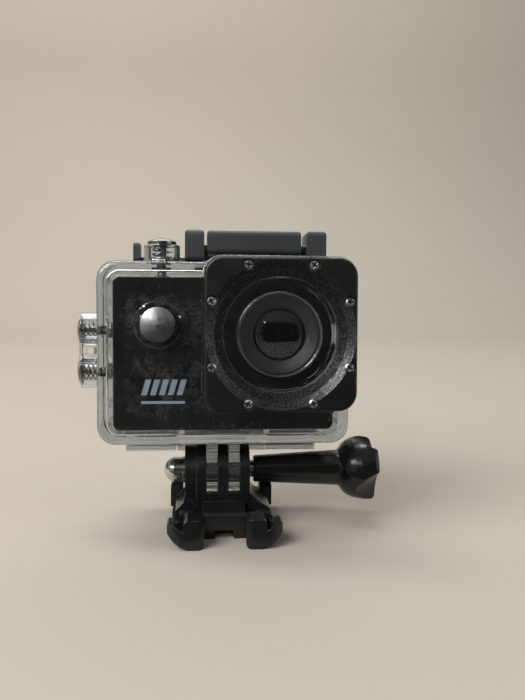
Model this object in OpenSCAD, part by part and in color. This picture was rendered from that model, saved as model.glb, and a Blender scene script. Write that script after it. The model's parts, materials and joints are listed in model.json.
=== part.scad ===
// Compact action camera in a clear dive housing on a quick-release buckle.
// +Z is up, the lens looks toward -Y, millimetres.
// Origin: on the underside of the buckle, straight below the tilt pivot.
// Housing parts are written about the pivot and leaned by rest_tilt.

/* [Camera body] */
// width of the camera
cam_w = 59.3; // [57:0.1:61]
// height of the camera
cam_h = 41.1; // [40:0.1:42]
// depth of the camera body without its lens
cam_d = 21; // [20.5:0.1:21.5]
// gap from the pivot up to the underside of the camera
cam_z0 = 13.4; // [13.2:0.1:13.8]
// wall of the camera shells
cam_wall = 1.4; // [1.2:0.1:1.6]
// lens axis to the right of the pivot
lens_x = 14.1; // [13.6:0.1:14.6]
// lens axis above the pivot
lens_z = 39.4; // [39:0.1:39.8]
// radius of the lens barrel
lens_r = 11.2; // [10.8:0.1:11.6]

/* [Dive housing] */
// width of the clear shell
shell_w = 67.4; // [67:0.1:68.4]
// underside of the shell above the pivot
shell_z0 = 9.8; // [9.6:0.1:10]
// top of the shell above the pivot
shell_z1 = 58.6; // [58.4:0.1:59]
// corner radius of the shell
shell_r = 5; // [4:0.1:6]
// wall of the shell
shell_wall = 2.3; // [2.2:0.1:2.4]
// side of the square lens frame
frame_s = 39.4; // [39:0.1:39.8]
// corner radius of the lens frame
frame_r = 4.7; // [4:0.1:5]
// distance of the frame screws from the lens axis, long way
screw_a = 17.85; // [17.7:0.05:17.9]
// distance of the frame screws from the lens axis, short way
screw_b = 8.45; // [8:0.05:9]
// thickness of the rear door
door_t = 3.2; // [3:0.1:3.4]

/* [Buttons] */
// radius of a push rod
rod_r = 1.2; // [1.1:0.05:1.25]
// middle radius of the return springs
spring_r = 2.5; // [2.4:0.05:2.6]
// radius of the front dome
dome_r = 4.6; // [4.4:0.05:4.7]
// radius of the side caps
side_cap_r = 3.85; // [3.7:0.05:3.95]
// radius of the top cap
top_cap_r = 4; // [3.9:0.05:4.1]

/* [Mount] */
// height of the pivot over the underside of the buckle
pivot_h = 15.1; // [14.8:0.1:15.6]
// how far the housing leans back at rest, degrees
rest_tilt = 3; // [0:1:8]
// half width of the buckle over its rails
rail_hw = 14.4; // [14:0.1:14.6]
// radius of the pivot bores
pivot_r = 2.5; // [2.45:0.01:2.55]
// radius round the ends of the mounting fingers
finger_r = 7.1; // [7:0.05:7.4]
// radius of the lobes of the thumb screw
knob_r = 9.3; // [9.2:0.1:9.6]

/* [Hidden] */
$fn = 64;

cam_y0 = -13;                      // front of the camera's panel
cam_y1 = cam_y0 + cam_d;           // back of the camera
cam_zc = cam_z0 + cam_h / 2;
cam_z1 = cam_z0 + cam_h;
seam_y = 1;                        // seam between the camera's two shells
panel_t = 1.2;
shell_y0 = -16;                    // front face of the clear shell
shell_y1 = 10.6;                   // rear rim of the clear shell
shell_h = shell_z1 - shell_z0;
shell_zc = (shell_z0 + shell_z1) / 2;
shell_hw = shell_w / 2;
in_w = shell_w - 2 * shell_wall;
in_h = shell_h - 2 * shell_wall;
in_y0 = shell_y0 + shell_wall;     // inner face of the front wall
port_y = -22.3;                    // front of the port boss
frame_y = -25.2;                   // front of the lens frame
door_y = 11;                       // inner face of the rear door
hinge_y = 12.2; hinge_z = 5.7; hinge_r = 2.6;
p1 = [-0.5, 63];                   // latch lever's pivot (y, z)
p2 = [-4.5, 63.5];                 // latch arm's pivot (y, z)
front_x = -17.65; front_z = 41.8;   // front button
side_y = -4; side_za = 40.1; side_zb = 28.8;
top_x = -17.1; top_y = -4;
bat_x0 = -25; bat_x1 = 3;
SCREWS = [for (s = [-1, 1], t = [-1, 1]) each [[s * screw_a, t * screw_b], [s * screw_b, t * screw_a]]];
CORNERS = [for (s = [-1, 1], t = [-1, 1]) [s * (cam_w / 2 - 2.5), t * (cam_h / 2 - 2.5)]];

// ---- helpers ----
module in_housing() { translate([0, 0, pivot_h]) rotate([-rest_tilt, 0, 0]) children(); }

// rod along X
module rod_x(r, x0, x1) { translate([x0, 0, 0]) rotate([0, 90, 0]) cylinder(r = r, h = x1 - x0); }

// disc or ring along Y, from y0 to y1
module rod_y(r, y0, y1) { translate([0, y0, 0]) rotate([-90, 0, 0]) cylinder(r = r, h = y1 - y0); }

// outline in (Y, Z) drawn from x0 to x1
module slab_x(x0, x1) { translate([x0, 0, 0]) rotate([90, 0, 90]) linear_extrude(x1 - x0) children(); }

// outline in (X, Z) drawn from y0 to y1
module slab_y(y0, y1) { translate([0, y1, 0]) rotate([90, 0, 0]) linear_extrude(y1 - y0) children(); }

module box(x0, x1, y0, y1, z0, z1) { translate([x0, y0, z0]) cube([x1 - x0, y1 - y0, z1 - z0]); }

// rectangle with round corners
module round_rect(w, h, r) {
  square([w - 2 * r, h], center = true);
  square([w, h - 2 * r], center = true);
  for (s = [-1, 1], t = [-1, 1]) translate([s * (w / 2 - r), t * (h / 2 - r)]) circle(r = r);
}

// the same between corners given as numbers
module round_box2(x0, x1, y0, y1, r) {
  translate([(x0 + x1) / 2, (y0 + y1) / 2]) round_rect(x1 - x0, y1 - y0, r);
}

// section through a plate: width a, depth d, its front edges rounded by f, its back edges by g
module edge_section(a, d, f, g) {
  translate([-a / 2, f]) square([a, d - f - g]);
  if (f > 0) {
    translate([-a / 2 + f, 0]) square([a - 2 * f, f * 1.5]);
    for (s = [-1, 1]) translate([s * (a / 2 - f), f]) circle(r = f, $fn = 32);
  }
  if (g > 0) {
    translate([-a / 2 + g, d - g * 1.5]) square([a - 2 * g, g * 1.5]);
    for (s = [-1, 1]) translate([s * (a / 2 - g), d - g]) circle(r = g, $fn = 32);
  }
}

// plate with its corners rounded by r and its front and back edges by f and g, from y = 0 to d
module soft_box(w, h, d, r, f, g) {
  rotate([0, 90, 0]) linear_extrude(w - 2 * r, center = true) edge_section(h, d, f, g);
  linear_extrude(h - 2 * r, center = true) edge_section(w, d, f, g);
  for (s = [-1, 1], t = [-1, 1])
    translate([s * (w / 2 - r), 0, t * (h / 2 - r)]) rotate([-90, 0, 0]) rotate_extrude()
      intersection() { edge_section(2 * r, d, f, g); square([r + 1, d + 1]); }
}

// places for the buttons: +Z of the child points out of the wall, from its outer face
module at_front() { translate([front_x, shell_y0, front_z]) rotate([90, 0, 0]) children(); }
module at_side(z) { translate([-shell_hw, side_y, z]) rotate([0, -90, 0]) children(); }
module at_top() { translate([top_x, top_y, shell_z1]) children(); }

// push rod with a domed cap; w0 rim of the cap, w1 top of the dome, tip inner end of the rod
module push_button(cap_r, w0, w1, tip, clip_w, clip_t) {
  rise = min(w1 - w0 - 0.35, 1.1);
  ball = (cap_r * cap_r + rise * rise) / (2 * rise);
  difference() {
    union() {
      intersection() {
        translate([0, 0, w1 - ball]) sphere(r = ball, $fn = 96);
        translate([0, 0, w0]) cylinder(r = cap_r, h = w1 - w0);
      }
      translate([0, 0, tip]) cylinder(r = rod_r, h = w0 + 0.5 - tip);
    }
    difference() {
      translate([0, 0, w0 - 0.1]) cylinder(r = spring_r + 0.65, h = 0.5);
      translate([0, 0, w0 - 0.2]) cylinder(r = rod_r, h = 1);
    }
    difference() {
      translate([0, 0, -clip_w - clip_t]) cylinder(r = rod_r + 1, h = clip_t);
      translate([0, 0, -clip_w - clip_t - 1]) cylinder(r = rod_r - 0.4, h = clip_t + 2);
    }
  }
}

// return spring as its outer envelope; the turns lie in this tube
module spring_tube(w0, w1) {
  translate([0, 0, w0]) difference() {
    cylinder(r = spring_r + 0.25, h = w1 - w0);
    translate([0, 0, -1]) cylinder(r = spring_r - 0.25, h = w1 - w0 + 2);
  }
}

module seal_ring() {
  translate([0, 0, -0.38]) rotate_extrude() translate([1.58, 0]) circle(r = 0.36, $fn = 32);
}

// spring clip that snaps into the rod's groove
module e_clip(clip_w, clip_t) {
  translate([0, 0, -clip_w - clip_t + 0.03]) linear_extrude(clip_t - 0.06) difference() {
    circle(r = 2.25);
    circle(r = rod_r - 0.38);
    translate([0, -0.7]) square([3, 1.4]);
    for (a = [90, 180, 270]) rotate(a) translate([2.3, 0]) circle(r = 0.55, $fn = 24);
  }
}

// hole in the wall for a rod, with the seal's seat and a pocket for the clip
module rod_bore(pocket) {
  translate([0, 0, -4]) cylinder(r = rod_r + 0.05, h = 8);
  translate([0, 0, -0.76]) cylinder(r = 1.96, h = 1);
  if (pocket > 0) translate([0, 0, -shell_wall - 0.5]) cylinder(r = 2.7, h = pocket + 0.5);
}

// button of the camera: face at w = proud, flange inside a wall of thickness t
module small_button(r, proud, t) {
  translate([0, 0, -t - 0.05]) cylinder(r = r, h = t + 0.05 + proud - 0.15);
  translate([0, 0, proud - 0.16]) cylinder(r = r - 0.15, h = 0.16);
  translate([0, 0, -t - 0.4]) cylinder(r = r + 0.5, h = 0.37);
}

module lens_axis() { translate([lens_x, 0, lens_z]) children(); }

// ring about the lens axis: outline in (radius, y)
module turned() { lens_axis() rotate([-90, 0, 0]) rotate_extrude() children(); }

// ---- dive housing ----
module shell_solid() {
  translate([0, shell_y0, shell_zc]) soft_box(shell_w, shell_h, shell_y1 - shell_y0, shell_r, 1.4, 0);
  // raised rim that the door closes on
  translate([0, shell_y1 - 3.4, shell_zc])
    soft_box(shell_w + 1.2, shell_h + 1.2, 3.4, shell_r + 0.6, 0.5, 0);
  // port boss
  translate([lens_x, port_y, lens_z])
    soft_box(frame_s + 1.4, frame_s + 1.4, in_y0 - port_y, frame_r + 0.7, 0.4, 0);
  // mounting fingers
  for (s = [-1, 1]) {
    rod_x(finger_r, s * 3.1 - 1.5, s * 3.1 + 1.5);
    box(s * 3.1 - 1.5, s * 3.1 + 1.5, -finger_r, finger_r, 0, shell_z0 + 1);
  }
  // foot that joins the fingers to the shell
  box(-6.2, 6.2, -9, 9, shell_z0 - 0.9, shell_z0 + 1);
  // door hinge knuckles with their webs
  for (s = [-1, 1]) {
    translate([0, hinge_y, hinge_z]) rod_x(hinge_r, s * 21 - 7.5, s * 21 + 7.5);
    slab_x(s * 21 - 7.5, s * 21 + 7.5)
      polygon([[6.2, shell_z0 + 0.5], [10, hinge_z - 1.2], [11.2, hinge_z + 2.2], [10.4, 9.2],
          [10.4, shell_z0 + 0.6]]);
  }
  // lugs for the latch lever
  for (x = [1, 14]) {
    translate([0, p1[0], p1[1]]) rod_x(2.2, x, x + 3);
    box(x, x + 3, p1[0] - 2.2, p1[0] + 2.2, shell_z1 - 1, p1[1]);
  }
  // guard round the two side buttons
  translate([-shell_hw - 5.4, side_y, (side_za + side_zb) / 2]) rotate([0, 0, -90])
    soft_box(9.4, side_za - side_zb + 9.6, 6.2, 4.6, 0.3, 0);
  // collar of the top button
  at_top() rotate_extrude()
    polygon([[0, -1], [5.5, -1], [5.5, 0.6], [5, 1.1], [5, 4.75], [4.9, 5], [4.7, 5.1], [0, 5.1]]);
  // ring round the front button
  at_front() rotate_extrude()
    polygon([[0, -0.5], [6.4, -0.5], [6.4, 0.7], [6.3, 1.1], [6.05, 1.4], [5.65, 1.5], [0, 1.5]]);
}

module housing_shell() {
  color([0.86, 0.9, 0.92, 0.35]) in_housing() {
    difference() {
      shell_solid();
      // inside of the shell
      translate([0, in_y0, shell_zc]) soft_box(in_w, in_h, 40, shell_r - 1.6, 0.6, 0);
      // port bore and the window's seat
      lens_axis() rod_y(14.7, port_y - 1, in_y0 + 1);
      lens_axis() rod_y(16.65, port_y - 1, -20.3);
      for (p = SCREWS) lens_axis() translate([p[0], 0, p[1]]) rod_y(0.65, port_y - 1, port_y + 4.6);
      // pivot bore
      rod_x(pivot_r, -6, 6);
      // hinge pin bore
      translate([0, hinge_y, hinge_z]) rod_x(0.95, -29, 29);
      // lever pin bore
      translate([0, p1[0], p1[1]]) rod_x(0.95, 0, 18);
      // button bores
      at_front() { rod_bore(0.9); cylinder(r = 4.95, h = 3); }
      for (z = [side_za, side_zb]) at_side(z) { rod_bore(0); cylinder(r = 4.1, h = 8); }
      at_top() { rod_bore(0.9); cylinder(r = 4.2, h = 8); }
      // window between the two side guards
      at_side((side_za + side_zb) / 2) translate([-0.9, -8, 1.5]) cube([1.8, 16, 3]);
    }
    // ribs that locate the camera
    for (s = [-1, 1]) {
      box(s * 11.5 - 0.8, s * 11.5 + 0.8, -12, 9, shell_z0 + 1, cam_z0 - 0.05);
      box(s * 22 - 0.8, s * 22 + 0.8, -6, 9, cam_z1 + 0.05, shell_z1 - 1);
      box(s > 0 ? cam_w / 2 + 0.05 : -shell_hw + 1, s > 0 ? shell_hw - 1 : -cam_w / 2 - 0.05, -2, 9,
          47.2, 48.8);
      box(s > 0 ? cam_w / 2 + 0.05 : -shell_hw + 1, s > 0 ? shell_hw - 1 : -cam_w / 2 - 0.05, -2, 9,
          18.2, 19.8);
    }
  }
}

module port_window() {
  color([0.8, 0.88, 0.92, 0.3]) in_housing() turned()
    polygon([[0, -23.3], [16.1, -23.3], [16.4, -23], [16.4, -21.4], [0, -21.4]]);
}

module port_o_ring() {
  color("black") in_housing() turned() translate([15.4, -20.85]) circle(r = 0.55, $fn = 32);
}

module port_frame() {
  color([0.09, 0.1, 0.11]) in_housing() difference() {
    translate([lens_x, frame_y, lens_z]) soft_box(frame_s, frame_s, port_y - frame_y, frame_r, 0.7, 0);
    // dished face round the window
    turned() polygon([[0, frame_y - 1], [19.35, frame_y - 1], [19.35, frame_y], [17.2, frame_y + 1.05],
      [14.9, frame_y + 1.6], [14.9, -22], [0, -22]]);
    lens_axis() rod_y(16.75, -23.35, port_y + 1);
    for (p = SCREWS) lens_axis() translate([p[0], 0, p[1]]) {
      rod_y(1.45, frame_y - 1, frame_y + 1.3);
      rod_y(0.7, frame_y, port_y + 1);
    }
  }
}

module port_screws() {
  color("silver") in_housing() for (i = [0 : len(SCREWS) - 1]) lens_axis()
    translate([SCREWS[i][0], frame_y + 0.3, SCREWS[i][1]]) rotate([-90, 0, 0]) rotate([0, 0, i * 31])
      difference() {
      union() {
        translate([0, 0, 0.25]) cylinder(r = 1.25, h = 0.75);
        cylinder(r1 = 0.95, r2 = 1.25, h = 0.26);
        cylinder(r = 0.6, h = 6.4);
      }
      translate([-0.88, -0.21, -0.1]) cube([1.76, 0.42, 0.6]);
      translate([-0.21, -0.88, -0.1]) cube([0.42, 1.76, 0.6]);
    }
}

module housing_door() {
  color([0.86, 0.9, 0.92, 0.35]) in_housing() difference() {
    union() {
      translate([0, door_y, shell_zc])
        soft_box(shell_w + 1.2, shell_h + 1.2, door_t, shell_r + 0.6, 0.2, 1.1);
      // raised pane that sits inside the rim
      translate([0, 9.6, shell_zc]) soft_box(in_w - 1.2, in_h - 1.2, 2, shell_r - 2.2, 0.4, 0);
      // knuckle
      translate([0, hinge_y, hinge_z]) rod_x(hinge_r, -13.2, 13.2);
      slab_x(-13.2, 13.2)
        polygon([[11, shell_z0 + 2], [11, hinge_z], [14.2, hinge_z], [14.2, shell_z0 + 2]]);
      // wedge that the latch pulls on
      slab_x(-8, 26)
        polygon([[11.1, shell_z1 - 1], [11.1, 60.2], [11.3, 60.2], [15, 59.15], [15, 58.3],
            [13.4, 56.5]]);
    }
    // hollow of the pane over the screen
    translate([0, 9, shell_zc]) soft_box(in_w - 8, in_h - 8, 3.2, 2, 0, 0);
    // seal groove
    slab_groove(2.0, 0.62);
    translate([0, hinge_y, hinge_z]) rod_x(0.95, -14, 14);
  }
  // pads that hold the camera still
  color([0.86, 0.9, 0.92, 0.35]) in_housing()
    for (s = [-1, 1], z = [18, 49.8]) translate([s * 24, 0, z]) rod_y(1.5, cam_y1 + 0.05, 12.6);
}

// ring on the sealing line, width w, depth d into the door
module slab_groove(w, d) {
  slab_y(door_y - 0.01, door_y + d) translate([0, shell_zc]) difference() {
    round_rect(shell_w - 2.2 + w, shell_h - 2.2 + w, shell_r - 1.1 + w / 2);
    round_rect(shell_w - 2.2 - w, shell_h - 2.2 - w, shell_r - 1.1 - w / 2);
  }
}

module door_gasket() {
  color([0.92, 0.93, 0.93]) in_housing() slab_y(shell_y1 + 0.02, door_y + 0.6) translate([0, shell_zc])
    difference() {
    round_rect(shell_w - 0.5, shell_h - 0.5, shell_r - 0.25);
    round_rect(shell_w - 3.9, shell_h - 3.9, shell_r - 1.95);
  }
}

module door_hinge_pin() {
  color("silver") in_housing() translate([0, hinge_y, hinge_z]) { rod_x(0.9, -28, 28); }
}

module latch_lever() {
  color([0.16, 0.17, 0.18]) in_housing() difference() {
    intersection() {
      slab_x(-4.6, 21.4) round_box2(-8, 1.6, 61.2, 67.8, 1.5);
      slab_y(-9, 3) round_box2(-4.6, 21.4, 61.2, 67.8, 1);
    }
    // hollow under the lever, open at the back
    box(-2.4, 19.4, -6.5, 3, 60, 66.2);
    translate([0, p1[0], p1[1]]) rod_x(0.92, -5, 23);
    translate([0, p2[0], p2[1]]) rod_x(0.95, -5, 23);
  }
}

module latch_arm() {
  color([0.16, 0.17, 0.18]) in_housing() difference() {
    union() {
      for (x = [[-10.7, -5.4], [23, 28.5]]) {
        intersection() {
          slab_x(x[0], x[1]) round_box2(-8, 1.8, 59.2, 67.9, 1.5);
          slab_y(-9, 3) round_box2(x[0], x[1], 57.6, 67.9, 1.1);
        }
        slab_x(x[0], x[1])
          polygon([[-3, 59.2], [4, 60.3], [11, 60.3], [11, 61.9], [4, 61.9], [1.7, 64.4], [-3, 66]]);
      }
      // plate and hook over the door's wedge
      slab_x(-10.7, 28.5)
        polygon([[3.6, 60.35], [11.3, 60.35], [15.1, 59.27], [17.3, 59.27], [17.3, 60.6],
        [15.9, 62], [4.2, 62]]);
      // rail across the arm
      slab_x(-10.7, 28.5) round_box2(4.2, 8.4, 60.4, 65.5, 1.2);
      // thin bar and thumb tab at the far end
      box(-25.2, -10, 11, 13.6, 60.4, 61.6);
      intersection() {
        slab_x(-26.2, -24.1) round_box2(9.4, 14.4, 60.4, 65.9, 1.1);
        slab_y(9, 15) round_box2(-26.2, -24.1, 59.9, 65.9, 0.7);
      }
    }
    translate([0, p2[0], p2[1]]) rod_x(0.92, -12, 30);
  }
}

module latch_lever_pin() {
  color("silver") in_housing() translate([0, p1[0], p1[1]]) rod_x(0.9, -4, 21.8);
}

module latch_arm_pin() {
  color("silver") in_housing() translate([0, p2[0], p2[1]]) rod_x(0.9, -10, 28.4);
}

// ---- buttons of the housing ----
front_w0 = 1.1; front_w1 = 2.9; front_tip = -2.44;
side_w0 = 5.3; side_w1 = 6.65; side_tip = -(shell_hw - cam_w / 2 - 0.66);
top_w0 = 5.3; top_w1 = 7.1; top_tip = -(shell_z1 - cam_z1 - 0.76);

module front_button() {
  color("silver") in_housing() at_front() push_button(dome_r, front_w0, front_w1, front_tip, 1.42, 0.46);
}
module front_button_spring() {
  color("silver") in_housing() at_front() spring_tube(0.02, front_w0 + 0.38);
}
module front_button_o_ring() { color("black") in_housing() at_front() seal_ring(); }
module front_button_clip() { color("silver") in_housing() at_front() e_clip(1.42, 0.46); }

module side_button(z) {
  color("silver") in_housing() at_side(z) push_button(side_cap_r, side_w0, side_w1, side_tip, 2.34, 0.56);
}
module side_spring(z) { color("silver") in_housing() at_side(z) spring_tube(0.02, side_w0 + 0.38); }
module side_o_ring(z) { color("black") in_housing() at_side(z) seal_ring(); }
module side_clip(z) { color("silver") in_housing() at_side(z) e_clip(2.34, 0.56); }

module upper_side_button() { side_button(side_za); }
module upper_side_spring() { side_spring(side_za); }
module upper_side_o_ring() { side_o_ring(side_za); }
module upper_side_clip() { side_clip(side_za); }
module lower_side_button() { side_button(side_zb); }
module lower_side_spring() { side_spring(side_zb); }
module lower_side_o_ring() { side_o_ring(side_zb); }
module lower_side_clip() { side_clip(side_zb); }

module top_button() {
  color("silver") in_housing() at_top() push_button(top_cap_r, top_w0, top_w1, top_tip, 1.42, 0.46);
}
module top_button_spring() { color("silver") in_housing() at_top() spring_tube(0.02, top_w0 + 0.38); }
module top_button_o_ring() { color("black") in_housing() at_top() seal_ring(); }
module top_button_clip() { color("silver") in_housing() at_top() e_clip(1.42, 0.46); }

// ---- camera ----
module camera_front_panel() {
  color([0.05, 0.055, 0.06]) in_housing() difference() {
    translate([0, cam_y0, cam_zc]) soft_box(cam_w, cam_h, panel_t, 1.8, 0.35, 0);
    lens_axis() rod_y(lens_r + 0.2, cam_y0 - 1, cam_y0 + 2);
    translate([front_x, 0, front_z]) rod_y(2.9, cam_y0 - 1, cam_y0 + 2);
    print_pattern(cam_y0 - 1, cam_y0 + 0.1);
  }
}

// plain graphic: slanted bars over a thin rule
module print_pattern(y0, y1) {
  slab_y(y0, y1) {
    for (i = [0 : 4]) translate([-22.2 + i * 2.35, 22.9])
      polygon([[0, 0], [1.5, 0], [2.7, 4.2], [1.2, 4.2]]);
    translate([-22.2, 20.6]) square([11.6, 0.7]);
  }
}

module panel_print() {
  color([0.8, 0.82, 0.84]) in_housing() print_pattern(cam_y0 - 0.03, cam_y0 + 0.1);
}

module camera_front_shell() {
  color([0.08, 0.08, 0.085]) in_housing() {
    difference() {
      translate([0, cam_y0 + panel_t, cam_zc])
        soft_box(cam_w, cam_h, seam_y - cam_y0 - panel_t, 1.8, 0, 0);
      translate([0, cam_y0 + panel_t + cam_wall, cam_zc])
        soft_box(cam_w - 2 * cam_wall, cam_h - 2 * cam_wall, 30, 1, 0, 0);
      lens_axis() rod_y(lens_r + 0.2, cam_y0, -9);
      translate([front_x, 0, front_z]) rod_y(2.9, cam_y0, -10);
      for (z = [side_za, side_zb]) translate([0, side_y, z]) rod_x(1.9, -32, -26);
      translate([top_x, top_y, 50]) cylinder(r = 2.4, h = 8);
      // battery door opening
      box(bat_x0 - 0.4, bat_x1 + 0.4, -9.4, -0.2, cam_z0 - 1, cam_z0 + 3);
      // memory card slot
      box(7.8, 19.2, -6.2, -4.8, cam_z0 - 1, cam_z0 + 3);
      // openings of the side ports
      box(25, 32, -6, -2.6, 20.8, 28.8);
      box(25, 32, -6, -2.6, 31.8, 38.6);
    }
    for (p = CORNERS) translate([p[0], 0, cam_zc + p[1]]) difference() {
      rod_y(1.7, cam_y0 + panel_t + 1, seam_y);
      rod_y(0.62, -8, seam_y + 1);
    }
  }
}

module camera_back_shell() {
  color([0.08, 0.08, 0.085]) in_housing() {
    difference() {
      translate([0, seam_y, cam_zc]) soft_box(cam_w, cam_h, cam_y1 - seam_y, 1.8, 0, 0.8);
      translate([0, seam_y - 20, cam_zc])
        soft_box(cam_w - 2 * cam_wall, cam_h - 2 * cam_wall, 20 + cam_y1 - seam_y - cam_wall, 1, 0, 0);
      box(-20.8, 20.8, 0, 12, cam_zc - 15.8, cam_zc + 15.8);
      for (i = [0 : 2]) translate([25.2, 0, 44 - i * 4]) rod_y(0.82, 4, 12);
      for (p = CORNERS) translate([p[0], 0, cam_zc + p[1]]) rod_y(1.15, 7, 12);
      for (p = CORNERS) translate([p[0], 0, cam_zc + p[1]]) rod_y(0.62, -2, 12);
      // sound holes
      for (i = [0 : 2], j = [0 : 2]) translate([-25.2 + (i - 1) * 1.3, 0, 22 + (j - 1) * 1.3])
        rod_y(0.4, 4, 12);
    }
    for (p = CORNERS) translate([p[0], 0, cam_zc + p[1]]) difference() {
      rod_y(1.7, seam_y, 7);
      rod_y(0.62, seam_y - 1, 8);
    }
  }
}

module camera_screws() {
  color("silver") in_housing() for (p = CORNERS) translate([p[0], 0, cam_zc + p[1]]) difference() {
    union() { rod_y(1.1, 7.02, 7.8); rod_y(0.6, -7.8, 7.1); }
    box(-0.7, 0.7, 7.5, 9, -0.15, 0.15);
    box(-0.15, 0.15, 7.5, 9, -0.7, 0.7);
  }
}

module lens_barrel() {
  color([0.05, 0.05, 0.055]) in_housing() turned()
    polygon([[7.3, -19.4], [9.9, -19.4], [10.5, -19.8], [lens_r, -19.8],
    [lens_r, -10.35], [12.8, -10.35], [12.8, -9.4], [8.5, -9.4], [8.5, -0.3], [7.2, -0.3], [7.2, -8.6],
    [5.6, -8.6], [5.6, -15.6], [6.6, -15.6], [6.6, -17.9], [7.3, -17.9]]);
}

module lens_retainer() {
  color([0.25, 0.26, 0.27]) in_housing() turned() polygon([[10.5, -19.8], [10.5, -20.8], [10.7, -21],
    [lens_r - 0.2, -21], [lens_r, -20.8], [lens_r, -19.8]]);
}

module lens_bezel() {
  color([0.12, 0.13, 0.14]) in_housing() turned()
    polygon([[7, -19.4], [6.95, -19.9], [7.5, -20.1], [9.9, -20.9],
    [10.45, -20.9], [10.45, -19.85], [9.9, -19.4]]);
}

module lens_front_glass() {
  color([0.1, 0.12, 0.16, 0.6]) in_housing() lens_axis() intersection() {
    rod_y(6.9, -21, -18);
    translate([0, -3.4, 0]) sphere(r = 16.9, $fn = 128);
  }
}

module lens_inner_elements() {
  color([0.12, 0.1, 0.18, 0.6]) in_housing() {
    lens_axis() intersection() { rod_y(5.55, -15.5, -13.2); translate([0, -3, 0])
      sphere(r = 12.4, $fn = 96); }
    lens_axis() intersection() { rod_y(5.55, -11.4, -9.2); translate([0, -21.4, 0])
      sphere(r = 12.2, $fn = 96); }
  }
}

module image_sensor() {
  color([0.2, 0.24, 0.22]) in_housing() lens_axis() {
    box(-4.5, 4.5, 0.15, 1.15, -4, 4);
    box(-3.2, 3.2, -0.15, 0.2, -2.6, 2.6);
  }
}

module main_board() {
  color([0.07, 0.25, 0.16]) in_housing() {
    difference() {
      box(-27.2, 27.2, 1.2, 2.2, cam_z0 + 1.8, cam_z1 - 1.8);
      for (p = CORNERS) translate([p[0], 0, cam_zc + p[1]]) rod_y(2, 0, 4);
    }
    box(-6, 4, 2.15, 3, 32, 42);
    box(-20, -14, 2.15, 2.8, 24, 30);
    box(8, 13, 2.15, 2.8, 20, 27);
  }
}

module lcd_screen() {
  color([0.06, 0.07, 0.09]) in_housing() {
    box(-22, 22, 3.3, 6.45, cam_zc - 17, cam_zc + 17);
    box(-20.6, 20.6, 6.4, 7.85, cam_zc - 15.6, cam_zc + 15.6);
  }
}

module battery() {
  color([0.75, 0.76, 0.78]) in_housing() slab_y(-8.9, -0.6)
    round_box2(bat_x0, bat_x1, cam_z0 + 1.5, cam_z0 + 34.5, 1);
}

module battery_door() {
  color([0.08, 0.08, 0.085]) in_housing() {
    box(bat_x0 - 0.3, bat_x1 + 0.3, -9.3, -0.3, cam_z0, cam_z0 + 1.3);
  }
}

module camera_power_button() {
  color([0.35, 0.37, 0.4]) in_housing() translate([front_x, cam_y0, front_z]) rotate([90, 0, 0])
    small_button(2.75, 0.5, panel_t + cam_wall);
}
module camera_side_button(z) {
  color([0.35, 0.37, 0.4]) in_housing() translate([-cam_w / 2, side_y, z]) rotate([0, -90, 0])
    small_button(1.75, 0.6, cam_wall);
}
module camera_up_button() { camera_side_button(side_za); }
module camera_down_button() { camera_side_button(side_zb); }
module camera_ok_button() {
  color([0.35, 0.37, 0.4]) in_housing() translate([top_x, top_y, cam_z1])
    small_button(2.25, 0.7, cam_wall);
}

module memory_card() {
  color([0.06, 0.06, 0.07]) in_housing() box(8, 19, -6, -5, cam_z0 + 0.4, cam_z0 + 15.4);
}

module side_ports() {
  color("silver") in_housing() {
    difference() {
      box(24, 29.4, -5.9, -2.7, 20.9, 28.7);
      box(25, 30, -5.5, -3.1, 21.3, 28.3);
    }
    difference() {
      box(24, 29.4, -5.9, -2.7, 31.9, 38.5);
      box(25, 30, -5.5, -3.1, 32.3, 38.1);
    }
  }
}

module speaker() {
  color([0.15, 0.15, 0.16]) in_housing()
    translate([21, 0, 21]) { rod_y(5, -10, -7.5); rod_y(2, -7.6, -7); }
}

module status_lights() {
  color([0.7, 0.85, 0.95]) in_housing() for (i = [0 : 2]) translate([25.2, 0, 44 - i * 4])
    rod_y(0.78, 3.4, 7.9);
}

// ---- mount ----
prong_x = 10.3; prong_y = -7.2; prong_root = 2.1;

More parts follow.
